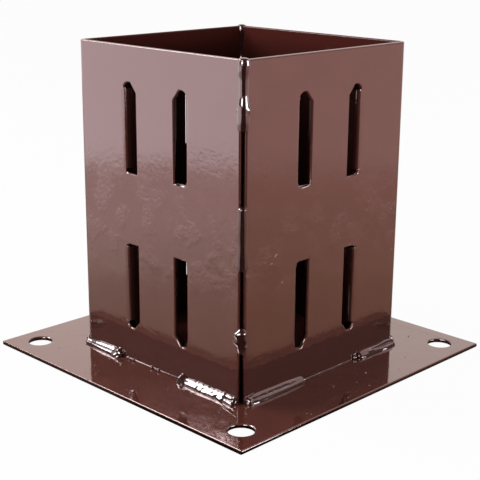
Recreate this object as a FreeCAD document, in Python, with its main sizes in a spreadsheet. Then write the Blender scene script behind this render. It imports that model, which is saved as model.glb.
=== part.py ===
import FreeCAD, Part
import Sketcher
import math
import os
import re

# A bolt-down base for a square timber post. Two L-folded sheets make a square socket, stitch-welded
# along two open corner seams and round its foot to a square plate with four anchor-bolt holes.
# Each socket wall has four windows, left where a grip fin is cut on three sides and bent square into
# the socket to bite the post.
#
# Frame: millimetres, +Z up, the origin at the centre of the plate's underside, walls across X and Y.
# Left is the -X wall, front -Y, right +X and back +Y.

doc = FreeCAD.newDocument("TimberPostBase")

# ---------------------------------------------------------------------------------------------
# Driving sizes
# ---------------------------------------------------------------------------------------------

DRIVING_SIZES = (
    ("plate_side", 162.0, "length of each side of the base plate"),
    ("plate_thickness", 2.0, "base plate sheet"),
    ("hole_inset", 13.0, "from the plate's sides in to each anchor hole's centre"),
    ("hole_diameter", 11.0, "anchor hole, for an M10 bolt"),
    ("socket_inside", 100.0, "between opposite walls of the socket"),
    ("socket_height", 144.0, "wall height above the plate"),
    ("wall", 2.0, "socket sheet"),
    ("fold_inside_radius", 1.0, "inner radius of every fold"),
    ("free_edge", 12.0, "from a wall's middle line to a window's free edge"),
    ("fin_face", 19.0, "from a wall's middle line to the face of a bent fin"),
    ("row_gap", 32.8, "between the flat ends of the lower and upper windows"),
    ("window_length", 39.7, "from a window's flat end to its pointed end"),
    ("flat_end_radius", 1.7, "outer corner at a window's flat end"),
    ("point_radius", 3.0, "outer corner at a window's pointed end"),
    ("point_width", 3.6, "chamfer at the pointed end, across the window"),
    ("point_length", 4.3, "chamfer at the pointed end, along the window"),
    ("seam_bead_radius", 2.5, "weld bead along a corner seam"),
    ("seam_bead_inset", 1.4, "from the socket's outer corner planes in to the seam bead's axis"),
    ("rim_bead_rise", 0.7, "how far the top stitch stands above the rim"),
    ("foot_bead_radius", 3.2, "weld bead at the socket's foot"),
    ("foot_bead_inset", 1.1, "from wall and plate out to the foot bead's axis"),
    ("bead_taper", 2.5, "length of a bead's tapered end"),
    ("bead_end_drop", 1.5, "how much lower a bead is at its very end"),
    ("rim_stitch", 28.4, "seam stitch down from the rim"),
    ("middle_stitch", 27.0, "seam stitch across mid-height"),
    ("tack_start", 22.2, "from the plate up to the tack"),
    ("tack_length", 11.8, "short seam stitch low on the corner"),
    ("seam_end_stitch", 36.0, "foot stitch from a wall's open edge"),
    ("fold_end_stitch", 27.0, "foot stitch that ends beside a wall's fold"),
    ("corner_clearance", 0.5, "from the fold's outer corner to the foot stitch beside it"),
)

# A fold's neutral line lies this share of the sheet's thickness outside its inner radius, which sets
# how far a fin bent out of its window reaches.
NEUTRAL_SHARE = 0.4

# Sizes that follow from the driving ones.
DERIVED_SIZES = (
    ("hole_offset", "plate_side / 2 - hole_inset", "from the axis to each anchor hole, both ways"),
    ("socket_half", "socket_inside / 2 + wall", "from the axis to a wall's outer face"),
    ("fold_outside_radius", "fold_inside_radius + wall", "outer radius of every fold"),
    ("middle_line", "wall / 2", "a wall's middle line, off the axis towards its fold"),
    ("mid_height", "plate_thickness + socket_height / 2", "level between the window rows"),
    ("rim", "plate_thickness + socket_height", "top of the walls"),
    ("bend_start", "fin_face + fold_outside_radius", "where a fin's bend leaves the wall"),
    ("window_side", "bend_start - fold_outside_radius * 2 / 3", "window edge beside the bend's ends"),
    ("flat_end", "mid_height + row_gap / 2", "flat end of an upper window"),
    ("pointed_end", "flat_end + window_length", "pointed end of an upper window"),
    ("bend_low", "flat_end + flat_end_radius", "lower end of an upper fin's bend"),
    ("bend_high", "pointed_end - point_radius", "upper end of an upper fin's bend"),
    (
        "bend_allowance",
        f"pi / 2 * (fold_inside_radius + {NEUTRAL_SHARE} * wall)",
        "sheet taken up by a fin's bend",
    ),
    (
        "fin_reach",
        "fold_outside_radius + bend_start - free_edge - bend_allowance",
        "from a wall's outer face to the tip of its fins",
    ),
)

sheet = doc.addObject("Spreadsheet::Sheet", "Sizes")
cells = [(alias, str(number), meaning) for alias, number, meaning in DRIVING_SIZES]
cells += [(alias, "=" + formula, meaning) for alias, formula, meaning in DERIVED_SIZES]
for row, (alias, content, meaning) in enumerate(cells, start=1):
    sheet.set(f"A{row}", alias)
    sheet.set(f"B{row}", content)
    sheet.set(f"C{row}", meaning)
    sheet.setAlias(f"B{row}", alias)
doc.recompute()
SIZE_NAMES = {alias for alias, _, _ in cells}


def linked(formula):
    """The formula with each size's name turned into a reference to its cell in the sheet."""
    return re.sub(
        "[a-z_]+", lambda word: "Sizes." * (word.group() in SIZE_NAMES) + word.group(), formula
    )


def value(formula):
    """The formula's value now, in millimetres."""
    return float(sheet.evalExpression(linked(formula)))


def bind(thing, **formulas):
    """Tie a feature's own properties to formulas of the driving sizes."""
    for name, formula in formulas.items():
        thing.setExpression(name, linked(formula))


# ---------------------------------------------------------------------------------------------
# Ways of building that every piece shares
# ---------------------------------------------------------------------------------------------


def new_body(label):
    body = doc.addObject("PartDesign::Body", label)
    body.Label = label
    return body


def origin_part(body, role):
    """One of a body's own origin planes or axes."""
    return next(item for item in body.Origin.OriginFeatures if item.Role == role)


def attach(feature, body, plane, offset="0", right="0", up="0"):
    """Lay a sketch or datum plane flat on an origin plane, moved along its normal and within it."""
    feature.AttachmentSupport = (origin_part(body, plane), "")
    feature.MapMode = "FlatFace"
    for way, formula in (("x", right), ("y", up), ("z", offset)):
        bind(feature, **{".AttachmentOffset.Base." + way: formula})


def side_curve(start, end, radius):
    """A straight side, or the short arc that turns anticlockwise (radius > 0) or clockwise."""
    if radius == 0:
        return Part.LineSegment(start, end)
    first, last = (start, end) if radius > 0 else (end, start)
    chord = last - first
    across = FreeCAD.Vector(-chord.y, chord.x, 0).normalize()
    centre = (first + last) / 2 + across * math.sqrt(radius**2 - (chord.Length / 2) ** 2)
    angles = [math.atan2(point.y - centre.y, point.x - centre.x) for point in (first, last)]
    return Part.ArcOfCircle(Part.Circle(centre, FreeCAD.Vector(0, 0, 1), abs(radius)), *angles)


def outline(body, name, plane, corners, *offsets):
    """A closed outline, held at each corner by its two distances from the sketch's origin.

    A corner is two formulas. A third is the radius of an arc that runs from it to the next corner,
    anticlockwise, or clockwise where the formula starts with a minus sign.
    """
    sketch = body.newObject("Sketcher::SketchObject", name)
    attach(sketch, body, plane, *offsets)
    points = [FreeCAD.Vector(value(corner[0]), value(corner[1]), 0) for corner in corners]
    ends = []
    for index, corner in enumerate(corners):
        radius = value(corner[2]) if len(corner) == 3 else 0
        following = points[(index + 1) % len(points)]
        side = sketch.addGeometry(side_curve(points[index], following, radius))
        ends.append((side, 1, 2) if radius >= 0 else (side, 2, 1))
    for index, corner in enumerate(corners):
        side, start, end = ends[index]
        next_side, next_start, _ = ends[(index + 1) % len(ends)]
        sketch.addConstraint(Sketcher.Constraint("Coincident", side, end, next_side, next_start))
        for kind, formula, place in (
            ("DistanceX", corner[0], points[index].x),
            ("DistanceY", corner[1], points[index].y),
        ):
            held = sketch.addConstraint(Sketcher.Constraint(kind, -1, 1, side, start, place))
            sketch.setExpression(f"Constraints[{held}]", linked(formula))
        if len(corner) == 3:
            radius = abs(value(corner[2]))
            held = sketch.addConstraint(Sketcher.Constraint("Radius", side, radius))
            sketch.setExpression(f"Constraints[{held}]", linked(corner[2].lstrip("- ")))
    return sketch


def pad(body, name, sketch, length):
    feature = body.newObject("PartDesign::Pad", name)
    feature.Profile = sketch
    bind(feature, Length=length)
    return feature


def cut_through(body, name, sketch):
    feature = body.newObject("PartDesign::Pocket", name)
    feature.Profile = sketch
    feature.Type = "ThroughAll"
    return feature


def turned(body, degrees):
    """Turn a finished body about the socket's axis."""
    upright = FreeCAD.Vector(0, 0, 1)
    body.Placement = FreeCAD.Placement(FreeCAD.Vector(), FreeCAD.Rotation(upright, degrees))


# ---------------------------------------------------------------------------------------------
# Base plate: guillotined square sheet with four punched holes
# ---------------------------------------------------------------------------------------------


def base_plate():
    body = new_body("base_plate")
    half = "plate_side / 2"
    square = outline(
        body,
        "PlateOutline",
        "XY_Plane",
        [("-" + half, "-" + half), (half, "-" + half), (half, half), ("-" + half, half)],
    )
    pad(body, "Plate", square, "plate_thickness")
    doc.recompute()

    circle = body.newObject("Sketcher::SketchObject", "HoleOutline")
    attach(circle, body, "XY_Plane", "plate_thickness")
    centre = FreeCAD.Vector(value("hole_offset"), value("hole_offset"), 0)
    upright = FreeCAD.Vector(0, 0, 1)
    circle.addGeometry(Part.Circle(centre, upright, value("hole_diameter / 2")))
    for constraint, formula in (
        (Sketcher.Constraint("DistanceX", -1, 1, 0, 3, centre.x), "hole_offset"),
        (Sketcher.Constraint("DistanceY", -1, 1, 0, 3, centre.y), "hole_offset"),
        (Sketcher.Constraint("Diameter", 0, value("hole_diameter")), "hole_diameter"),
    ):
        held = circle.addConstraint(constraint)
        circle.setExpression(f"Constraints[{held}]", linked(formula))
    hole = cut_through(body, "Hole", circle)
    doc.recompute()

    holes = body.newObject("PartDesign::PolarPattern", "Holes")
    holes.Originals = [hole]
    holes.Axis = (origin_part(body, "Z_Axis"), [""])
    holes.Angle = 360
    holes.Occurrences = 4
    body.Tip = holes
    return body


# ---------------------------------------------------------------------------------------------
# Folded half: one sheet folded to an L, with four windows and four bent fins in each leg
# ---------------------------------------------------------------------------------------------


def folded_half(label, turn):
    """The left and back walls. Each leg stops flush with the inside of the other half's wall."""
    body = new_body(label)

    # The L seen from above, from the fold's outer corner round both legs.
    fold_out = "socket_half - fold_outside_radius"
    inside = "socket_inside / 2"
    blank = outline(
        body,
        "FoldedSheet",
        "XY_Plane",
        [
            ("-socket_half", fold_out, "-fold_outside_radius"),
            (f"-({fold_out})", "socket_half"),
            (inside, "socket_half"),
            (inside, inside),
            (f"-({fold_out})", inside, "fold_inside_radius"),
            ("-" + inside, fold_out),
            ("-" + inside, "-" + inside),
            ("-socket_half", "-" + inside),
        ],
        "plate_thickness",
    )
    pad(body, "Walls", blank, "socket_height")
    doc.recompute()

    # One upper window of the left wall, with the strip that the bend takes up.
    window = outline(
        body,
        "WindowOutline",
        "YZ_Plane",
        [
            ("middle_line + free_edge", "flat_end"),
            ("middle_line + window_side - flat_end_radius", "flat_end", "flat_end_radius"),
            ("middle_line + window_side", "bend_low"),
            ("middle_line + bend_start", "bend_low"),
            ("middle_line + bend_start", "bend_high"),
            ("middle_line + window_side", "bend_high", "point_radius"),
            ("middle_line + window_side - point_radius", "pointed_end"),
            ("middle_line + free_edge + point_width", "pointed_end"),
            ("middle_line + free_edge", "pointed_end - point_length"),
        ],
    )
    window_cut = cut_through(body, "Window", window)
    doc.recompute()

    # Its fin: the bend, which leaves the wall's outer face and turns square into the socket ...
    bend = outline(
        body,
        "BendSection",
        "XY_Plane",
        [
            ("-socket_half", "middle_line + bend_start", "fold_outside_radius"),
            ("-socket_half + fold_outside_radius", "middle_line + fin_face"),
            ("-socket_half + fold_outside_radius", "middle_line + fin_face + wall", "-fold_inside_radius"),
            ("-socket_half + wall", "middle_line + bend_start"),
        ],
        "bend_low",
    )
    bend_pad = pad(body, "Bend", bend, "bend_high - bend_low")
    doc.recompute()

    # ... and its flat blade, whose tip carries the other side of the window's chamfer.
    blade = outline(
        body,
        "BladeOutline",
        "XZ_Plane",
        [
            ("-socket_half + fold_outside_radius", "flat_end"),
            ("-socket_half + fin_reach", "flat_end"),
            ("-socket_half + fin_reach", "pointed_end - point_length"),
            ("-socket_half + fin_reach - point_width", "pointed_end"),
            ("-socket_half + fold_outside_radius", "pointed_end"),
        ],
        "-(middle_line + fin_face + wall)",
    )
    blade_pad = pad(body, "Blade", blade, "wall")
    doc.recompute()

    # The other seven are its mirror images: across the wall's middle, across mid-height and across
    # the diagonal plane through the fold.
    mirrors = []
    for name, plane, offset, swing in (
        ("Columns", "XZ_Plane", "-middle_line", 0),
        ("Rows", "XY_Plane", "mid_height", 0),
        ("Legs", "YZ_Plane", "0", 45),
    ):
        datum = body.newObject("PartDesign::Plane", name + "Plane")
        datum.AttachmentOffset = FreeCAD.Placement(
            FreeCAD.Vector(), FreeCAD.Rotation(FreeCAD.Vector(0, 1, 0), swing)
        )
        attach(datum, body, plane, offset)
        mirrors.append((name, datum))
    windows = body.newObject("PartDesign::MultiTransform", "WindowsAndFins")
    windows.Originals = [window_cut, bend_pad, blade_pad]
    steps = []
    for name, datum in mirrors:
        step = body.newObject("PartDesign::Mirrored", name)
        step.MirrorPlane = (datum, [""])
        steps.append(step)
    windows.Transformations = steps
    body.Tip = windows
    turned(body, turn)
    return body


# ---------------------------------------------------------------------------------------------
# Welds: round beads with tapered ends, seated on the sheets that they join
# ---------------------------------------------------------------------------------------------


def bead(body, axis, radius, start, end, across, beside):
    """A bar with tapered ends, turned about a sketch axis: V_Axis stands it up, H_Axis lays it along Y.

    start and end are places along it, across is its axis's X and beside its Y or its height.
    """
    length = f"({end}) - ({start})"
    half_section = [
        ("0", "0"),
        (f"{radius} - bead_end_drop", "0"),
        (radius, "bead_taper"),
        (radius, f"{length} - bead_taper"),
        (f"{radius} - bead_end_drop", length),
        ("0", length),
    ]
    place = (across, beside, start)
    if axis == "H_Axis":
        half_section = [(along, out) for out, along in half_section]
        place = (across, start, beside)
    profile = outline(body, "BeadProfile", "YZ_Plane", half_section, *place)
    turned_bead = body.newObject("PartDesign::Revolution", "Bead")
    turned_bead.Profile = profile
    turned_bead.ReferenceAxis = (profile, [axis])
    turned_bead.Angle = 360


def clear_of(body, name, low, size):
    """Take out the space of the sheet that the bead lies on: a box from its low corner."""
    box = body.newObject("PartDesign::SubtractiveBox", name)
    bind(box, Length=size[0], Width=size[1], Height=size[2])
    for way, formula in zip("xyz", low):
        bind(box, **{".Placement.Base." + way: formula})


def seam_weld(label, start, end, turn):
    """A stitch in the groove of the front left seam, from one height to another, then turned."""
    body = new_body(label)
    axis = "-socket_half + seam_bead_inset"
    bead(body, "V_Axis", "seam_bead_radius", start, end, axis, axis)
    reach = "2 * seam_bead_radius"
    size = (reach, reach, f"({end}) - ({start})")
    clear_of(body, "LeftWall", ("-socket_half", "-socket_inside / 2", start), size)
    clear_of(body, "FrontWall", ("-socket_inside / 2", "-socket_half", start), size)
    turned(body, turn)
    return body


def foot_weld(label, start, end, turn):
    """A fillet stitch at the left wall's foot, between two places along the wall, then turned."""
    body = new_body(label)
    across = "-socket_half - foot_bead_inset"
    height = "plate_thickness + foot_bead_inset"
    bead(body, "H_Axis", "foot_bead_radius", start, end, across, height)
    reach = "2 * foot_bead_radius"
    length = f"({end}) - ({start})"
    clear_of(body, "Wall", ("-socket_half", start, "0"), (reach, length, reach))
    below = (f"-socket_half - {reach}", start, f"plate_thickness - {reach}")
    clear_of(body, "Plate", below, (f"2 * {reach}", length, reach))
    turned(body, turn)
    return body


# ---------------------------------------------------------------------------------------------
# The assembly
# ---------------------------------------------------------------------------------------------

# A seam's stitches, as heights up the corner: the groove stays open between them.
SEAM_STITCHES = (
    ("top", "rim - rim_stitch", "rim + rim_bead_rise"),
    ("middle", "mid_height - middle_stitch / 2", "mid_height + middle_stitch / 2"),
    ("tack", "plate_thickness + tack_start", "plate_thickness + tack_start + tack_length"),
)
# A wall's foot stitches, as places along it from its open edge to its fold.
FOOT_STITCHES = (
    ("seam", "-socket_inside / 2", "-socket_inside / 2 + seam_end_stitch"),
    ("fold", "socket_half - corner_clearance - fold_end_stitch", "socket_half - corner_clearance"),
)

subparts = [
    base_plate(),
    folded_half("left_back_half", 0),
    folded_half("front_right_half", 180),
]
for seam, turn in (("front_left", 0), ("back_right", 180)):
    for stitch, start, end in SEAM_STITCHES:
        subparts.append(seam_weld(f"{seam}_seam_weld_{stitch}", start, end, turn))
# The left and right walls run from seam to fold one way round, the front and back walls the other.
for wall_name, turn, forward in (
    ("left", 0, True),
    ("front", 90, False),
    ("right", 180, True),
    ("back", -90, False),
):
    for stitch, start, end in FOOT_STITCHES:
        span = (start, end) if forward else (f"-({end})", f"-({start})")
        subparts.append(foot_weld(f"{wall_name}_base_weld_{stitch}", *span, turn))

doc.recompute()
for item in doc.Objects:
    if "Invalid" in item.State or "Error" in item.State:
        raise RuntimeError(f"{item.Name} failed: {item.State}")
os.makedirs("parts", exist_ok=True)
for body in subparts:
    shape = body.Shape
    if shape.isNull() or not shape.isValid() or len(shape.Solids) != 1:
        raise RuntimeError(f"{body.Label} isn't one sound solid")
    shape.exportStep(f"parts/{body.Label}.step")
    print(f"{body.Label}: {shape.Volume:.1f} mm3")
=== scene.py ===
"""Timber post base: a folded sheet-steel socket welded to a square plate, in dark red-brown enamel."""
import math

import bmesh
import bpy
import numpy as np
from mathutils import Matrix, Vector


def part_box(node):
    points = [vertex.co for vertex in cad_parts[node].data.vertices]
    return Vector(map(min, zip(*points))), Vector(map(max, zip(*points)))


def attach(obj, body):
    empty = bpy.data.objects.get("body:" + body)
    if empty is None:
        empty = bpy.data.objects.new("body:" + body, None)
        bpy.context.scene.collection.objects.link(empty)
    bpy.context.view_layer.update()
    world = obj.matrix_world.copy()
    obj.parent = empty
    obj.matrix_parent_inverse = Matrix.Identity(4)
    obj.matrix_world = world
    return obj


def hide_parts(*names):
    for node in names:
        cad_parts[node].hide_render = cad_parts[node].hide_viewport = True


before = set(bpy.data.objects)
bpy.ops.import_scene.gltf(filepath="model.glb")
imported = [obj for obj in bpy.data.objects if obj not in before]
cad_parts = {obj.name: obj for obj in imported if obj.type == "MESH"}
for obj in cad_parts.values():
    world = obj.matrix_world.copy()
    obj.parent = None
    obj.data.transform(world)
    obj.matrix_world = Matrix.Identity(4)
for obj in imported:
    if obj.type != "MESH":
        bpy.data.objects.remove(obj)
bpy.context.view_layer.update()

MM = 0.001

# ---------------------------------------------------------------------------------------------------
# Base plate. A 2 mm sheet blanked square, with four anchor holes punched through it. The punch and the
# shears leave slightly rolled edges, and the dip rounds them over.

PLATE_EDGE_RADIUS = 0.7 * MM
# Painted shade on the plate's sides, for the dark they mirror: its top, how ragged that is, its colour and
# its share.
PAINTED_PLATE_SIDE_SHADE = (1.5 * MM, 0.1 * MM, "#160b09", 1.0)
MERGED_WITHIN = 0.002 * MM
FLAT_WITHIN, SHARP_FROM = math.radians(0.4), math.radians(30)
ARC_STEPS = 3


def eased_copy(node, name, radius, turned=None, rolled=None):
    """A node's own surface with its sharp edges rounded. The mesh is copied, turned(points) may move its
    points, its doubles are merged and its flat faces joined. Then each edge that turns by more than
    SHARP_FROM, and whose two ends rolled(ends) allows, becomes an arc of the radius, tangent to the faces
    on both its sides, and nothing passes the node's own box. Points are rows of x, y, z in millimetres."""
    work = bmesh.new()
    work.from_mesh(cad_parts[node].data)
    points = np.array([point.co[:] for point in work.verts]) / MM
    low, high = points.min(axis=0) * MM, points.max(axis=0) * MM
    if turned:
        for point, place in zip(work.verts, turned(points) * MM):
            point.co = place
    bmesh.ops.remove_doubles(work, verts=work.verts, dist=MERGED_WITHIN)
    bmesh.ops.dissolve_limit(work, angle_limit=FLAT_WITHIN, verts=work.verts, edges=work.edges)
    edges = [edge for edge in work.edges if edge.calc_face_angle(0) > SHARP_FROM]
    if rolled:
        ends = np.array([[point.co[:] for point in edge.verts] for edge in edges]) / MM
        edges = [edge for edge, chosen in zip(edges, rolled(ends)) if chosen]
    bmesh.ops.bevel(work, geom=edges, offset=radius, offset_type="OFFSET", segments=ARC_STEPS,
                    profile=0.5, affect="EDGES", clamp_overlap=False, loop_slide=True)
    for point in work.verts:
        point.co = np.clip(point.co, low, high)
    for face in work.faces:
        face.smooth = True
    shape = bpy.data.meshes.new(name)
    work.to_mesh(shape)
    work.free()
    piece = bpy.data.objects.new(name, shape)
    bpy.context.scene.collection.objects.link(piece)
    flat = piece.modifiers.new("flat_faces", "WEIGHTED_NORMAL")
    flat.weight = 100
    return piece


def linear(code):
    """A shader colour from an sRGB hex code: c/12.92 below 0.04045, else ((c + 0.055)/1.055)^2.4."""
    shares = np.array([int(code[i:i + 2], 16) for i in (1, 3, 5)]) / 255
    low, high = shares / 12.92, ((shares + 0.055) / 1.055) ** 2.4
    return (*np.where(shares <= 0.04045, low, high).tolist(), 1.0)


def add_node(tree, kind, settings=(), links=()):
    """Adds a shader node, gives it its settings and feeds its inputs. A key that is a number or the name
    of an input sets or feeds that input, and any other key is one of the node's own options."""
    node = tree.nodes.new(kind)
    for key, value in dict(settings).items():
        if isinstance(key, int) or key in node.inputs:
            node.inputs[key].default_value = value
        else:
            setattr(node, key, value)
    for key, source in dict(links).items():
        tree.links.new(source, node.inputs[key])
    return node


# The film's mottle is this share fine grain, and its roughness lies between these two.
GRAIN_SHARE = 0.4
SMOOTHEST, DULLEST = 0.07, 0.13
LINE_BLUR = 0.1 * MM


def gloss_enamel(name, light, deep, peel, peel_height, swell, swell_height, foot=None):
    """Dipped gloss enamel, which looks wet and deep and mirrors the room with slightly broken edges. The
    peel is a fine bump whose grains are peel apart, and the swell a slow one left where the paint ran. The
    colour drifts between deep and light with both. foot is the height of a ragged line below which a
    painted shade darkens the colour, how ragged the line is, the shade's colour and its share."""
    material = bpy.data.materials.new(name)
    material.use_nodes = True
    tree = material.node_tree
    tree.nodes.clear()
    place = add_node(tree, "ShaderNodeTexCoord", {"name": "place"}).outputs["Object"]
    grain = add_node(tree, "ShaderNodeTexNoise", {"Scale": 1 / peel, "Detail": 2.0, "Roughness": 0.45},
                     {"Vector": place})
    drift = add_node(tree, "ShaderNodeTexNoise", {
        "name": "drift", "Scale": 1 / swell, "Detail": 2.0, "Roughness": 0.5}, {"Vector": place})
    mottle = add_node(tree, "ShaderNodeMix", {"data_type": "FLOAT", 0: GRAIN_SHARE},
                      {2: drift.outputs["Fac"], 3: grain.outputs["Fac"]})
    colour = add_node(tree, "ShaderNodeMix", {"data_type": "RGBA", 6: linear(deep), 7: linear(light)},
                      {0: mottle.outputs[0]}).outputs[2]
    axes = add_node(tree, "ShaderNodeSeparateXYZ", {"name": "axes"}, {"Vector": place})
    # Painted shade: below a ragged line the colour darkens, standing in for the dark that the surface
    # mirrors.
    if foot:
        level, ragged, dark, share = foot
        edge = add_node(tree, "ShaderNodeMath", {"operation": "MULTIPLY_ADD", 1: ragged},
                        {0: grain.outputs["Fac"], 2: axes.outputs["Z"]})
        painted_shade_below = add_node(tree, "ShaderNodeMapRange", {"From Min": level + LINE_BLUR, "From Max": level,
                                                       "To Max": share}, {"Value": edge.outputs[0]})
        colour = add_node(tree, "ShaderNodeMix", {"data_type": "RGBA", 7: linear(dark)},
                          {0: painted_shade_below.outputs["Result"], 6: colour}).outputs[2]
    slow = add_node(tree, "ShaderNodeBump", {"Strength": 1.0, "Distance": swell_height},
                    {"Height": drift.outputs["Fac"]})
    fine = add_node(tree, "ShaderNodeBump", {"Strength": 1.0, "Distance": peel_height},
                    {"Height": grain.outputs["Fac"], "Normal": slow.outputs["Normal"]})
    gloss = add_node(tree, "ShaderNodeMapRange", {"To Min": SMOOTHEST, "To Max": DULLEST},
                     {"Value": drift.outputs["Fac"]})
    shader = add_node(tree, "ShaderNodeBsdfPrincipled", {
        "name": "film", "IOR": 2.4, "Specular Tint": (1.0, 0.80, 0.80, 1.0), "Coat Weight": 1.0,
        "Coat Roughness": 0.02, "Coat IOR": 1.5,
    }, {"Base Color": colour, "Roughness": gloss.outputs["Result"],
        "Normal": fine.outputs["Normal"], "Coat Normal": fine.outputs["Normal"]})
    add_node(tree, "ShaderNodeOutputMaterial", (), {"Surface": shader.outputs["BSDF"]})
    return material


plate = eased_copy("base_plate", "enamelled_base_plate", PLATE_EDGE_RADIUS)
plate.data.materials.append(
    gloss_enamel("gloss_enamel_on_plate", light="#66382f", deep="#502a23", peel=2.2 * MM,
                 peel_height=0.02 * MM, swell=14 * MM, swell_height=0.10 * MM, foot=PAINTED_PLATE_SIDE_SHADE))
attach(plate, "root")
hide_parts("base_plate")

# ---------------------------------------------------------------------------------------------------
# Socket halves. Each is one 2 mm sheet folded to an L, with eight lanced windows whose metal is bent
# square inwards as fins that grip the post. The enamel lies thick and shows a fine orange peel.

SHEET_EDGE_RADIUS = 0.7 * MM
# The faces and bends of the sheet, in millimetres: the walls' outer face and the rim, then how far from
# its windows' middle and how deep behind the face each bend has its axis, and the bend's two radii.
WALL_FACE, RIM = 52.0, 146.0
BEND_AT, BEND_IN, BEND_RADII = 22.0, 3.0, (1.0, 3.0)
WIDER, CLOSER = 0.5, 1.0
# How near a point lies to a plane or a radius to count as on it, and where the fins lie from their bends.
TOUCHING, ROUND_WITHIN = 0.01, 0.05
FIN_ASIDE, FIN_DEPTH = (-3.1, -0.9), 9
STEP_ASIDE = (19.8, 22.1)
# Each wall: the axis it faces, the axis along it, which way it faces, and where its windows' middle is.
WALLS = ((0, 1, -1, 1), (1, 0, 1, -1), (1, 0, -1, 1), (0, 1, 1, -1))


def bent_wider(points):
    """Draws each fin's bend half a millimetre wider, as sheet this thick bends. A point of the bend keeps
    its angle about the bend's axis and moves out by WIDER, and the axis moves by as much. The fin behind
    it moves CLOSER to the middle of the windows."""
    points = points.copy()
    for faces, runs, way, middle in WALLS:
        deep = WALL_FACE - way * points[:, faces]
        off = points[:, runs] - middle
        aside, behind = np.abs(off) - BEND_AT, deep - BEND_IN
        radius = np.maximum(np.hypot(aside, behind), 0.001)
        bend = (aside < TOUCHING) & (behind < TOUCHING) & np.any(
            [np.abs(radius - exact) < ROUND_WITHIN for exact in BEND_RADII], axis=0)
        fin = ((behind > TOUCHING) & (behind < FIN_DEPTH)
               & (aside > FIN_ASIDE[0]) & (aside < FIN_ASIDE[1]))
        new_aside = np.where(bend, aside * (radius + WIDER) / radius - WIDER,
                             np.where(fin, aside - CLOSER, aside))
        new_behind = np.where(bend, behind * (radius + WIDER) / radius + WIDER, behind)
        points[:, runs] = middle + np.sign(off) * (BEND_AT + new_aside)
        points[:, faces] = way * (WALL_FACE - BEND_IN - new_behind)
    return points


def outer_edges(ends):
    """Which edges the dip rounds: those in a wall's outer face or in the rim, but not the short steps
    where a fin's bend leaves its window."""
    chosen = np.all(ends[..., 2] > RIM - TOUCHING, axis=1)
    for faces, runs, way, middle in WALLS:
        outside = np.all(WALL_FACE - way * ends[..., faces] < TOUCHING, axis=1)
        aside = np.abs(ends[..., runs] - middle)
        chosen |= outside & ~np.all((aside > STEP_ASIDE[0]) & (aside < STEP_ASIDE[1]), axis=1)
    return chosen


# Painted shade below a ragged line at the walls' foot, for the dark plate they mirror: its height, how
# ragged, its colour and share.
PAINTED_FOOT_SHADE = (18.6 * MM, 3.0 * MM, "#2c1210", 0.6)
# The crinkled band, and the places up the wall and shares of drift over which it comes and goes.
CRINKLE_PITCH, CRINKLE_HEIGHT = 1.5 * MM, 0.20 * MM
BAND_FOOT, BAND_TOP, BAND_DRIFT = (36 * MM, 52 * MM), (92 * MM, 70 * MM), (0.44, 0.60)
# Painted shade inside the socket, darker deeper in: its colours, the distances from the axis over which it
# starts and the heights over which it reddens, and then each gloss of the film, outside and inside, dimmed
# inside with the shade.
INNER_SHADE_DEEP, INNER_SHADE_NEAR_RIM = "#24100d", "#48201c"
INNER_SHADE_WITHIN, INNER_SHADE_RISE = (51.6 * MM, 50.6 * MM), (125 * MM, 142 * MM)
INNER_SHADE_GLOSS = (("Coat Weight", 1.0, 0.1), ("Specular IOR Level", 0.5, 0.05))


def crinkled(enamel):
    """Wrinkles the film in a band round the middle of the walls, where it skinned over before it dried.
    The bump is warped noise CRINKLE_PITCH apart, times three smooth steps from 0 to 1: over BAND_FOOT and
    BAND_TOP up the wall, and over BAND_DRIFT in the slow drift, which breaks the band into patches."""
    tree = enamel.node_tree
    place, drift, axes, film = (tree.nodes[name] for name in ("place", "drift", "axes", "film"))
    steps = [add_node(tree, "ShaderNodeMapRange",
                      {"interpolation_type": "SMOOTHSTEP", "From Min": low, "From Max": high},
                      {"Value": value}).outputs["Result"]
             for (low, high), value in ((BAND_FOOT, axes.outputs["Z"]), (BAND_TOP, axes.outputs["Z"]),
                                        (BAND_DRIFT, drift.outputs["Fac"]))]
    share = steps[0]
    for other in steps[1:]:
        share = add_node(tree, "ShaderNodeMath", {"operation": "MULTIPLY"},
                         {0: share, 1: other}).outputs[0]
    folds = add_node(tree, "ShaderNodeTexNoise", {
        "Scale": 1 / CRINKLE_PITCH, "Detail": 2.0, "Roughness": 0.5, "Distortion": 0.9,
    }, {"Vector": place.outputs["Object"]})
    raised = add_node(tree, "ShaderNodeMath", {"operation": "MULTIPLY"},
                      {0: folds.outputs["Fac"], 1: share})
    wrinkled = add_node(tree, "ShaderNodeBump", {"Strength": 1.0, "Distance": CRINKLE_HEIGHT},
                        {"Height": raised.outputs[0], "Normal": film.inputs["Normal"].links[0].from_socket})
    for socket in ("Normal", "Coat Normal"):
        tree.links.new(wrinkled.outputs["Normal"], film.inputs[socket])


def farther_out(tree, axes):
    """The larger of |x| and |y|: how far a point lies from the post's axis, counted square to the walls."""
    reach = [add_node(tree, "ShaderNodeMath", {"operation": "ABSOLUTE"}, {0: axes.outputs[axis]})
             for axis in "XY"]
    return add_node(tree, "ShaderNodeMath", {"operation": "MAXIMUM"},
                    {0: reach[0].outputs[0], 1: reach[1].outputs[0]}).outputs[0]


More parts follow.
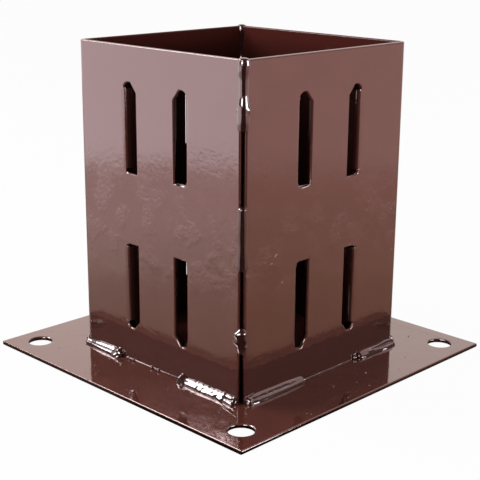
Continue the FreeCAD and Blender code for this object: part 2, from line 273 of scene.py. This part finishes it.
def paint_inner_shade(enamel):
    """Paints shade on the socket's inner side: it darkens the film to almost black down in the hollow,
    redder over INNER_SHADE_RISE towards the rim, and dims its coat and specular gloss there. It starts over
    INNER_SHADE_WITHIN from the axis, so the outer faces keep their gloss."""
    tree = enamel.node_tree
    axes, film = tree.nodes["axes"], tree.nodes["film"]
    inside, height = (
        add_node(tree, "ShaderNodeMapRange", {"From Min": low, "From Max": high},
                 {"Value": value}).outputs["Result"]
        for (low, high), value in ((INNER_SHADE_WITHIN, farther_out(tree, axes)),
                                   (INNER_SHADE_RISE, axes.outputs["Z"])))
    inner_shade_colour = add_node(tree, "ShaderNodeMix", {"data_type": "RGBA", 6: linear(INNER_SHADE_DEEP),
                                            7: linear(INNER_SHADE_NEAR_RIM)}, {0: height}).outputs[2]
    shaded_film = add_node(tree, "ShaderNodeMix", {"data_type": "RGBA"},
                    {0: inside, 6: film.inputs["Base Color"].links[0].from_socket, 7: inner_shade_colour})
    tree.links.new(shaded_film.outputs[2], film.inputs["Base Color"])
    for socket, outer, inner in INNER_SHADE_GLOSS:
        level = add_node(tree, "ShaderNodeMapRange", {"To Min": outer, "To Max": inner}, {"Value": inside})
        tree.links.new(level.outputs["Result"], film.inputs[socket])


socket_enamel = gloss_enamel(
    "gloss_enamel_on_socket", light="#5c342d", deep="#482620", peel=1.7 * MM, peel_height=0.04 * MM,
    swell=11 * MM, swell_height=0.10 * MM, foot=PAINTED_FOOT_SHADE)
crinkled(socket_enamel)
paint_inner_shade(socket_enamel)
for half in ("left_back_half", "front_right_half"):
    folded = eased_copy(half, f"enamelled_{half}", SHEET_EDGE_RADIUS, bent_wider, outer_edges)
    folded.data.materials.append(socket_enamel)
    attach(folded, "root")
    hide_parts(half)

# ---------------------------------------------------------------------------------------------------
# Seam welds. Short stitches of melted wire in the open corner grooves, three to a seam, laid upwards by
# hand. They froze smooth, thick where the arc dwelt and thin where it moved on.

weld_enamel = gloss_enamel(
    "gloss_enamel_on_welds", light="#301714", deep="#200d0a", peel=1.2 * MM, peel_height=0.02 * MM,
    swell=5 * MM, swell_height=0.05 * MM)
RINGS, AROUND = 190, 48
# The crescents of a ripple lag this share of a pitch behind at the bead's sides, and their pitch drifts.
SIDE_LAG, PITCH_DRIFT, DRIFT_LENGTH = 0.45, 0.25, 3.1


def closed_tube(name, rings):
    """A closed skin over rings of points: an array of ring, place round the ring, and x, y, z. Each ring
    is joined to the next by four-cornered faces, and the end rings to their own mean points."""
    count, around, _ = rings.shape
    first, last = rings[0].mean(axis=0), rings[-1].mean(axis=0)
    points = np.concatenate([rings.reshape(-1, 3), first[None], last[None]])
    ring, step = np.meshgrid(np.arange(count - 1), np.arange(around), indexing="ij")
    here, there = ring * around + step, ring * around + (step + 1) % around
    sides = np.stack([here, there, there + around, here + around], axis=-1).reshape(-1, 4)
    edge = np.arange(around)
    after = (edge + 1) % around
    start = np.stack([after, edge, np.full(around, count * around)], axis=-1)
    end = np.stack([edge, after, np.full(around, count * around + 1)], axis=-1)
    end[:, :2] += (count - 1) * around
    shape = bpy.data.meshes.new(name)
    shape.from_pydata(points.tolist(), [], sides.tolist() + start.tolist() + end.tolist())
    work = bmesh.new()
    work.from_mesh(shape)
    bmesh.ops.recalc_face_normals(work, faces=work.faces)
    work.to_mesh(shape)
    work.free()
    shape.polygons.foreach_set("use_smooth", np.ones(len(shape.polygons), bool))
    piece = bpy.data.objects.new(name, shape)
    bpy.context.scene.collection.objects.link(piece)
    return piece


def glide(place, knots):
    """The height at each place of a line through knots of place and height. Between two knots it moves
    by half a cosine wave, so it is level at every knot."""
    at, height = np.array(knots, float).T
    left = np.clip(np.searchsorted(at, place, side="right") - 1, 0, len(at) - 2)
    share = np.clip((place - at[left]) / (at[left + 1] - at[left]), 0, 1)
    return height[left] + (height[left + 1] - height[left]) * (1 - np.cos(np.pi * share)) / 2


def bead_rings(start, end, outward, look, seed):
    """Rings of a bead from start to end, in metres. At s mm along it and angle a from outward, it stands
    r = width(s) * caps(s) * section(a) * (1 + ripple + waver) + lumps from the line. The caps are quarter
    ellipses, the section is a superellipse (|cos a| / flatness)^power + |sin a|^power = 1 / section^power,
    the ripple is a row of crescents that lag towards the sides, the waver is five slow sine waves drawn
    by chance, and each lump is a Gaussian. A lump holds its place, its angle, how high it stands, and its
    spread along and round the bead."""
    draw = np.random.default_rng(seed)
    start, end, outward = (np.array(v, float) for v in (start, end, outward))
    length = np.linalg.norm(end - start) / MM
    along = (end - start) / (length * MM)
    outward = outward / np.linalg.norm(outward)
    across = np.cross(along, outward)
    if across[2] < 0 or (across[2] == 0 and across[0] < 0):
        across = -across
    s = length * (1 - np.cos(np.linspace(0, np.pi, RINGS))) / 2
    a = np.linspace(0, 2 * np.pi, AROUND, endpoint=False)
    s, a = np.meshgrid(s, a, indexing="ij")
    cap = look.get("cap", 1.6)
    caps = np.sqrt(np.clip(1 - np.clip((cap - np.minimum(s, length - s)) / cap, 0, 1) ** 2, 0, 1))
    power, flatness = look.get("power", 2), look.get("flatness", 1)
    section = ((np.abs(np.cos(a)) / flatness) ** power + np.abs(np.sin(a)) ** power) ** (-1 / power)
    lag = (s / look.get("pitch", 2.6) + SIDE_LAG * np.cos(a)
           + PITCH_DRIFT * np.sin(s / DRIFT_LENGTH + draw.uniform(0, 6)))
    quick = look.get("quick", 1)
    ripple = look.get("ripple", 0) * (np.sin(np.pi * lag) ** 2 - 0.5)
    waver = sum(draw.uniform(0.2, 0.6)
                * np.sin(quick * s / draw.uniform(2.0, 6.0) + k * a + draw.uniform(0, 6))
                for k in (0, 1, 1, 2, 3))
    r = glide(s, look["width"]) * caps * section * (1 + ripple + look.get("waver", 0.05) * waver)
    for place, angle, height, length_wise, round_wise in look.get("lumps", ()):
        turn = ((a - math.radians(angle) + np.pi) % (2 * np.pi) - np.pi) * look["width"][0][1]
        r = r + height * caps * np.exp(-((s - place) / length_wise) ** 2 - (turn / round_wise) ** 2)
    spoke = np.cos(a)[..., None] * outward + np.sin(a)[..., None] * across
    return start + MM * (s[..., None] * along + r[..., None] * spoke)


def lay_bead(node, outward, inset, look, seed):
    """Lays a bead in a weld node's box, along its longest side. Its line is the inset, in mm, in from
    the box's faces that outward points at."""
    low, high = (np.array(corner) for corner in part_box(node))
    run = int(np.argmax(high - low))
    line = np.where(np.array(outward) < 0, low + inset * MM, high - inset * MM)
    start, end = line.copy(), line.copy()
    start[run], end[run] = low[run], high[run]
    piece = closed_tube(f"frozen_{node}", bead_rings(start, end, outward, look, seed))
    piece.data.materials.append(weld_enamel)
    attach(piece, "root")
    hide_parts(node)


SEAM_INSET = 2.5
# A bead's random draws start from its seam's seed, and each next stitch has the next seed.
NEAR_SEED, FAR_SEED = 11, 21
# Each width is a row of places up from the stitch's lower end and the bead's radius there.
SEAM_LOOKS = {
    "top": {"width": ((0, 2.3), (4, 2.5), (9, 2.4), (15, 1.9), (20, 1.95), (25, 2.4), (29.1, 2.2)),
            "cap": 1.0, "waver": 0.03, "lumps": ((26.5, 60, 0.25, 2.0, 1.2), (8.6, 80, 0.55, 1.2, 1.0))},
    "middle": {"width": ((0, 2.2), (5, 2.15), (12, 1.95), (20, 2.1), (27, 2.0)),
               "cap": 1.2, "waver": 0.035, "lumps": ((2.6, 80, 0.3, 2.0, 1.0), (2.0, -85, 0.3, 1.8, 1.0))},
    "tack": {"width": ((0, 1.6), (4, 2.1), (7, 2.4), (9, 2.3), (11.8, 1.7)),
             "cap": 2.0, "waver": 0.04, "lumps": ((9.0, -82, 1.1, 1.3, 1.0), (5.5, -95, 1.4, 1.1, 1.0),
                                                  (3.2, 70, 0.5, 1.2, 1.0))},
}
for number, (stitch, look) in enumerate(SEAM_LOOKS.items()):
    lay_bead(f"front_left_seam_weld_{stitch}", (-1, -1, 0), SEAM_INSET, look, NEAR_SEED + number)
    lay_bead(f"back_right_seam_weld_{stitch}", (1, 1, 0), SEAM_INSET, look, FAR_SEED + number)

# ---------------------------------------------------------------------------------------------------
# Foot welds. Flat-faced fillets between the walls and the plate, two to a wall, with rounded shoulders.
# Some keep the weld's ripples, some a groove down the middle, and their ends show where the arc struck.

FOOT_INSET, FOOT_SEED = 3.2, 31
FLAT_FACE = {"power": 4, "flatness": 0.5, "cap": 1.8, "waver": 0.012}
# Places count from the stitch's end nearer to the front left or back right corner, and 90 degrees is up.
FOOT_LOOKS = {
    "left_seam": {"width": ((0, 2.1), (5, 2.0), (9, 2.3), (16, 2.0), (22, 2.3), (30, 1.8), (34, 2.7),
                            (36, 2.2)), "ripple": 0.10, "pitch": 3.9, "waver": 0.08,
                  "quick": 2.3, "lumps": (
                      (34.0, 10, 0.8, 1.6, 1.6), (30.5, 0, -0.4, 1.2, 1.0), (4.6, 0, -0.7, 2.0, 0.7),
                      (1.8, 60, 0.4, 1.4, 1.0), (2.6, -60, 0.4, 1.8, 1.0))},
    "left_fold": {"width": ((0, 2.3), (2.6, 3.0), (6, 2.6), (14, 2.4), (27, 1.3)),
                  "ripple": 0.012, "waver": 0.03, "quick": 1.5, "lumps": (
                      (2.4, 25, 0.6, 1.6, 1.6), (15, -12, -0.25, 12, 0.5), (3.6, -50, 0.4, 1.4, 0.8))},
    "front_seam": {"width": ((0, 1.9), (6, 2.5), (22, 2.4), (36, 1.9)),
                   "lumps": (
                       (1.2, -10, 1.1, 1.2, 1.4), (18, 0, -0.25, 11, 0.8), (12, 10, 0.2, 0.8, 0.5),
                       (16, -5, 0.2, 0.7, 0.5), (21, 8, 0.15, 0.7, 0.5), (27, 6, 0.15, 0.8, 0.5))},
    "front_fold": {"width": ((0, 1.6), (5, 2.0), (14, 1.9), (21, 2.6), (27, 2.0)),
                   "lumps": (
                       (19, 22, -0.5, 5.5, 0.4), (20, -16, -0.4, 4.5, 0.4), (8, 0, 0.2, 1.6, 1.2),
                       (25, 40, 0.4, 1.4, 0.8))},
}
for number, (side, outward) in enumerate((("left", (-1, 0, 1)), ("front", (0, -1, 1)),
                                          ("right", (1, 0, 1)), ("back", (0, 1, 1)))):
    for stitch in ("seam", "fold"):
        twin = {"right": "left", "back": "front"}.get(side, side)
        look = {**FLAT_FACE, **FOOT_LOOKS[f"{twin}_{stitch}"]}
        lay_bead(f"{side}_base_weld_{stitch}", outward, FOOT_INSET, look, FOOT_SEED + 2 * number)

# ---------------------------------------------------------------------------------------------------
# Spatter and runs. Beads of metal thrown off by the welding, stuck where they fell and enamelled over,
# a thin run of enamel near the corner of the plate, and the fillet that it left at the front wall's foot.

PLATE_TOP = 2.0
# Each dot's place and, last, its radius, in millimetres.
DOTS_ON_PLATE = ((-68.4, 25.3, 0.4), (-75.3, -5.8, 0.35), (-76.4, -9.1, 0.45), (-78.4, -23.3, 0.3),
                 (-62.1, -17.6, 0.35), (-74.3, -41.1, 0.4), (-63.1, -50.2, 0.35), (-64.2, 2.8, 0.3),
                 (-74.2, -27.4, 0.35), (-37.6, -76.0, 0.35), (-36.8, -77.6, 0.3), (-8.5, -65.8, 0.5),
                 (-13.2, -77.9, 0.35), (13.5, -66.1, 0.4), (64.4, -52.4, 0.4), (-58.1, -28.2, 0.6),
                 (-58.8, 26.9, 0.45), (-58.7, 22.3, 0.4), (-59.4, 17.7, 0.5))
DOTS_ON_WALLS = ((-52.0, 20.9, 2.9, 0.55), (-52.2, 17.4, 2.7, 0.6), (-52.2, 4.6, 2.8, 0.75),
                 (-52.2, 0.0, 2.8, 0.65), (22.4, -52.6, 3.0, 1.1), (-48.4, -53.0, 3.2, 1.3),
                 (-2.2, -52.3, 2.5, 0.4), (-52.0, 46.0, 17.0, 0.35), (-38.0, -52.0, 20.9, 0.3),
                 (-28.0, -52.0, 62.0, 0.35), (12.0, -52.0, 74.0, 0.3), (-52.0, 12.0, 57.0, 0.35),
                 (-52.0, -30.0, 96.0, 0.3), (30.0, -52.0, 120.0, 0.3), (-52.0, -49.2, 126.0, 0.8))
# The rest fall by chance round the socket: how many there are in all, how far across and along they lie,
# their radii, and how clear they stay of the anchor holes.
DOTS_IN_ALL = 90
STRAY_ACROSS, STRAY_ALONG, STRAY_RADIUS = (55, 79), (-78, 78), (0.12, 0.3)
HOLE_AT, HOLE_CLEAR = 68, 7


def drops(name, places):
    """Balls of metal, each a sphere of its own radius round its place, about half sunk into the face."""
    work = bmesh.new()
    for *place, radius in places:
        bmesh.ops.create_icosphere(work, subdivisions=2, radius=radius * MM,
                                   matrix=Matrix.Translation(Vector(place) * MM))
    for face in work.faces:
        face.smooth = True
    shape = bpy.data.meshes.new(name)
    work.to_mesh(shape)
    work.free()
    piece = bpy.data.objects.new(name, shape)
    bpy.context.scene.collection.objects.link(piece)
    return piece


draw = np.random.default_rng(7)
spots = [(x, y, PLATE_TOP, radius) for x, y, radius in DOTS_ON_PLATE] + list(DOTS_ON_WALLS)
while len(spots) < DOTS_IN_ALL:
    across, along, radius = (draw.uniform(*span) for span in (STRAY_ACROSS, STRAY_ALONG, STRAY_RADIUS))
    wall = int(draw.integers(4))
    x, y = ((-across, along), (along, -across), (across, along), (along, across))[wall]
    if max(abs(abs(x) - HOLE_AT), abs(abs(y) - HOLE_AT)) > HOLE_CLEAR:
        spots.append((x, y, PLATE_TOP, radius))
spatter = drops("weld_spatter", spots)

RUN = ((-58.5, -46.5), (-59.0, -49.5), (-59.6, -52.0), (-60.6, -55.5), (-61.4, -58.5))
FOOT_LINE = ((-14, -52), (24.5, -52))
RUN_RADIUS, FILLET_RADIUS = 0.3, 0.45
STEPS, SIDES = 60, 12


def laid_run(name, path, radius):
    """A round cord of enamel half sunk in the plate along a path of x and y. At a walk of w along it, its
    radius is radius * (0.75 + 0.25 sin(w / 1.9) sin(w / 5.3)) * sqrt(1 - |share - 1|^12), where share runs
    from 0 to 2, so that it swells and thins a little and its ends close."""
    path = np.array(path, float)
    walked = np.concatenate([[0], np.cumsum(np.hypot(*np.diff(path, axis=0).T))])
    at = np.linspace(0, walked[-1], STEPS)
    line = np.stack([np.interp(at, walked, path[:, 0]), np.interp(at, walked, path[:, 1]),
                     np.full(STEPS, PLATE_TOP)], axis=-1)
    way = np.gradient(line, axis=0)
    way /= np.linalg.norm(way, axis=1, keepdims=True)
    aside = np.cross(way, (0, 0, 1))
    turn = np.linspace(0, 2 * np.pi, SIDES, endpoint=False)
    thick = radius * (0.75 + 0.25 * np.sin(at / 1.9) * np.sin(at / 5.3)) * np.sqrt(
        np.clip(1 - np.abs(2 * at / walked[-1] - 1) ** 12, 0, 1))
    rings = line[:, None] + thick[:, None, None] * (
        np.cos(turn)[None, :, None] * aside[:, None] + np.sin(turn)[None, :, None] * np.array([0, 0, 1]))
    return closed_tube(name, rings * MM)


runs = (laid_run("enamel_run", RUN, RUN_RADIUS), laid_run("front_foot_fillet", FOOT_LINE, FILLET_RADIUS))
for piece in (spatter, *runs):
    piece.data.materials.append(weld_enamel)
    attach(piece, "root")

# ---------------------------------------------------------------------------------------------------
# Studio. A pale floor that runs out of sight, a white room, and four soft lamps: the key high at the back
# left, one to the left, one low in front, and a weak warm one high on the right.

floor_mesh = bpy.data.meshes.new("studio_floor")
floor_mesh.from_pydata([(-6, -6, 0), (6, -6, 0), (6, 6, 0), (-6, 6, 0)], [], [(0, 1, 2, 3)])
floor = bpy.data.objects.new("studio_floor", floor_mesh)
bpy.context.scene.collection.objects.link(floor)

# The paper's own colour, which takes the object's shadow, and its share of plain white where it is seen.
PAPER, SEEN_GLOW = "#c8c8c8", 0.97
# Painted pools of light and shade on the floor, which the walls mirror: a direction along it, and places
# along that with their colours.
PAINTED_FLOOR_POOLS = (((-0.707, 0.707, 0), ((0.05, (0.27, 0.20, 0.165)), (0.17, (0.36, 0.295, 0.26)),
                               (0.20, (0.50, 0.42, 0.37)), (0.30, (0.69, 0.54, 0.53)),
                               (0.41, (0.68, 0.53, 0.52)), (0.46, (0.74, 0.60, 0.59)),
                               (0.53, (1.25, 1.14, 1.20)))),
         ((0.707, -0.707, 0), ((0.05, (0.25, 0.15, 0.10)), (0.17, (0.31, 0.19, 0.14)),
                               (0.20, (0.36, 0.22, 0.165)), (0.31, (0.41, 0.25, 0.20)),
                               (0.41, (0.46, 0.27, 0.225)), (0.53, (0.62, 0.39, 0.36)))),
         ((0.707, 0.707, 0), ((0.15, (0.1, 0.06, 0.05)), (0.65, (1.0, 0.95, 0.95)))))
# A painted wedge of shade lies in the floor's mirrored colours before the near corner: its direction, its
# slope, its blurred edge and its colour.
NEAR_CORNER, WEDGE_SLOPE, WEDGE_BLUR, PAINTED_WEDGE_SHADE = (-0.707, -0.707, 0), -0.8, 0.012, (0.01, 0.01, 0.01, 1)
# The plate shades the floor just beside it: between which distances from the axis, and how dark it gets.
SHADE_EDGE, SHADE = (87 * MM, 88.5 * MM), 0.2
paper = bpy.data.materials.new("matt_white_paper")
paper.use_nodes = True
tree = paper.node_tree
tree.nodes.clear()
path = add_node(tree, "ShaderNodeLightPath")
place = add_node(tree, "ShaderNodeTexCoord").outputs["Object"]
# Each painted pool of light and shade is a ramp of colours along its direction, seen only in reflections.
painted_pools = []
ahead = add_node(tree, "ShaderNodeVectorMath", {"operation": "DOT_PRODUCT", 1: NEAR_CORNER}, {0: place})
for toward, stops in PAINTED_FLOOR_POOLS:
    reach = add_node(tree, "ShaderNodeVectorMath", {"operation": "DOT_PRODUCT", 1: toward},
                     {0: place}).outputs["Value"]
    painted_pool = add_node(tree, "ShaderNodeValToRGB", (), {0: reach})
    marks = painted_pool.color_ramp.elements
    marks.remove(marks[1])
    for count, (at, colour) in enumerate(stops):
        mark = marks.new(at) if count else marks[0]
        mark.position, mark.color = at, (*colour, 1)
    aside = add_node(tree, "ShaderNodeMath", {"operation": "MULTIPLY_ADD", 1: WEDGE_SLOPE},
                     {0: ahead.outputs["Value"], 2: reach})
    inside = add_node(tree, "ShaderNodeMapRange", {"From Min": -WEDGE_BLUR, "From Max": WEDGE_BLUR},
                      {"Value": aside.outputs[0]})
    painted_pools.append(add_node(tree, "ShaderNodeMix", {"data_type": "RGBA", 6: PAINTED_WEDGE_SHADE},
                          {0: inside.outputs["Result"], 7: painted_pool.outputs["Color"]}).outputs[2])
while len(painted_pools) > 1:
    painted_pools.append(add_node(tree, "ShaderNodeMix", {"data_type": "RGBA", "blend_type": "LIGHTEN", 0: 1.0},
                          {6: painted_pools.pop(0), 7: painted_pools.pop(0)}).outputs[2])
axes = add_node(tree, "ShaderNodeSeparateXYZ", (), {"Vector": place})
lit = add_node(tree, "ShaderNodeMapRange", {
    "From Min": SHADE_EDGE[0], "From Max": SHADE_EDGE[1], "To Min": SHADE,
}, {"Value": farther_out(tree, axes)})
shaded = add_node(tree, "ShaderNodeMix", {"data_type": "RGBA", "blend_type": "MULTIPLY", 0: 1.0},
                  {6: painted_pools[0], 7: lit.outputs["Result"]})
level = add_node(tree, "ShaderNodeMix", {"data_type": "RGBA", 7: (1, 1, 1, 1)},
                 {0: path.outputs["Is Camera Ray"], 6: shaded.outputs[2]})
mirrored = add_node(tree, "ShaderNodeMath", {"operation": "MAXIMUM"},
                    {0: path.outputs["Is Glossy Ray"], 1: path.outputs["Is Transmission Ray"]})
share = add_node(tree, "ShaderNodeMath", {"operation": "MULTIPLY_ADD", 1: SEEN_GLOW},
                 {0: path.outputs["Is Camera Ray"], 2: mirrored.outputs[0]})
matt = add_node(tree, "ShaderNodeBsdfDiffuse", {"Color": linear(PAPER)})
glow = add_node(tree, "ShaderNodeEmission", {"Strength": 1.0}, {"Color": level.outputs[2]})
both = add_node(tree, "ShaderNodeMixShader", (), {0: share.outputs[0], 1: matt.outputs[0],
                                                  2: glow.outputs[0]})
add_node(tree, "ShaderNodeOutputMaterial", (), {"Surface": both.outputs[0]})
floor_mesh.materials.append(paper)

# The room, as the enamel mirrors it: bright behind the object and dim elsewhere. Each glow has its
# direction, the cosines between which it grows, and its strength.
# ROOM_LIGHT is how bright the room falls on dull surfaces, and ROOM_DARK how bright its dim part mirrors.
ROOM_LIGHT, ROOM_DARK, MIRRORED_TINT = 0.30, 0.06, (1.0, 0.85, 0.80, 1.0)
ROOM_GLOWS = (((0.707, 0.707, 0), 0.2, 0.8, 0.9), ((-0.707, 0.707, 0), 0.35, 0.75, 0.12),
              ((0.707, -0.707, 0), 0.35, 0.75, 0.12))
world = bpy.data.worlds.new("white_studio")
bpy.context.scene.world = world
world.use_nodes = True
tree = world.node_tree
tree.nodes.clear()
path = add_node(tree, "ShaderNodeLightPath")
direction = add_node(tree, "ShaderNodeTexCoord").outputs["Generated"]
glows = []
for toward, low, high, level in ROOM_GLOWS:
    facing = add_node(tree, "ShaderNodeVectorMath", {"operation": "DOT_PRODUCT", 1: toward},
                      {0: direction})
    glows.append(add_node(tree, "ShaderNodeMapRange", {
        "interpolation_type": "SMOOTHSTEP", "From Min": low, "From Max": high, "To Min": ROOM_DARK,
        "To Max": level}, {"Value": facing.outputs["Value"]}).outputs["Result"])
while len(glows) > 1:
    glows.append(add_node(tree, "ShaderNodeMath", {"operation": "MAXIMUM"},
                          {0: glows.pop(0), 1: glows.pop(0)}).outputs[0])
mirrored = add_node(tree, "ShaderNodeMath", {"operation": "MAXIMUM"},
                    {0: path.outputs["Is Glossy Ray"], 1: path.outputs["Is Transmission Ray"]})
plain = add_node(tree, "ShaderNodeMix", {"data_type": "FLOAT", 2: ROOM_LIGHT},
                 {0: mirrored.outputs[0], 3: glows[0]})
level = add_node(tree, "ShaderNodeMath", {"operation": "MAXIMUM"},
                 {0: plain.outputs[0], 1: path.outputs["Is Camera Ray"]})
tint = add_node(tree, "ShaderNodeMix", {"data_type": "RGBA", 6: (1, 1, 1, 1), 7: MIRRORED_TINT},
                {0: mirrored.outputs[0]})
sky = add_node(tree, "ShaderNodeBackground", (), {"Color": tint.outputs[2], "Strength": level.outputs[0]})
add_node(tree, "ShaderNodeOutputWorld", (), {"Surface": sky.outputs[0]})


LAMPS_AIM = (0, 0, 0.07)


def soft_lamp(name, place, power, width, height, colour=(1, 1, 1)):
    """A rectangular lamp at place, in metres, turned to the middle of the socket."""
    lamp = bpy.data.lights.new(name, "AREA")
    lamp.shape = "RECTANGLE"
    lamp.size, lamp.size_y, lamp.energy, lamp.color = width, height, power, colour
    holder = bpy.data.objects.new(name, lamp)
    holder.location = place
    holder.rotation_euler = (Vector(LAMPS_AIM) - holder.location).to_track_quat("-Z", "Y").to_euler()
    holder.visible_camera = False
    bpy.context.scene.collection.objects.link(holder)


soft_lamp("key_lamp", (-0.42, 0.62, 0.66), 7.0, 0.45, 0.45)
soft_lamp("side_lamp", (-0.95, -0.25, 0.35), 5.0, 0.5, 0.4)
soft_lamp("low_lamp", (0.35, -0.95, 0.15), 4.0, 0.6, 0.2)
soft_lamp("right_lamp", (0.67, -0.28, 0.72), 0.45, 0.5, 0.5, (1.0, 0.74, 0.72))

# ---------------------------------------------------------------------------------------------------
# Camera. It stands half a metre off the near corner and looks a little down on the rim.

LENS, SENSOR_WIDTH, SHIFT = 83.02, 36.0, -0.0021
DISTANCE, AZIMUTH, ELEVATION, ROLL = 0.51969, 224.582, 16.088, 0.463
AIM_HEIGHT = 53.12 * MM
azimuth, elevation, roll = (math.radians(angle) for angle in (AZIMUTH, ELEVATION, ROLL))
back = Vector((math.cos(elevation) * math.cos(azimuth), math.cos(elevation) * math.sin(azimuth),
               math.sin(elevation)))
side = Vector((0, 0, 1)).cross(back).normalized()
rise = back.cross(side)
turn = Matrix((side * math.cos(roll) + rise * math.sin(roll),
               rise * math.cos(roll) - side * math.sin(roll), back)).transposed()
camera = bpy.data.objects.new("camera", bpy.data.cameras.new("camera"))
camera.data.lens, camera.data.sensor_width, camera.data.shift_x = LENS, SENSOR_WIDTH, SHIFT
camera.matrix_world = Matrix.Translation(Vector((0, 0, AIM_HEIGHT)) + back * DISTANCE) @ turn.to_4x4()
bpy.context.scene.collection.objects.link(camera)
bpy.context.scene.camera = camera
bpy.context.scene.view_settings.view_transform = "Standard"
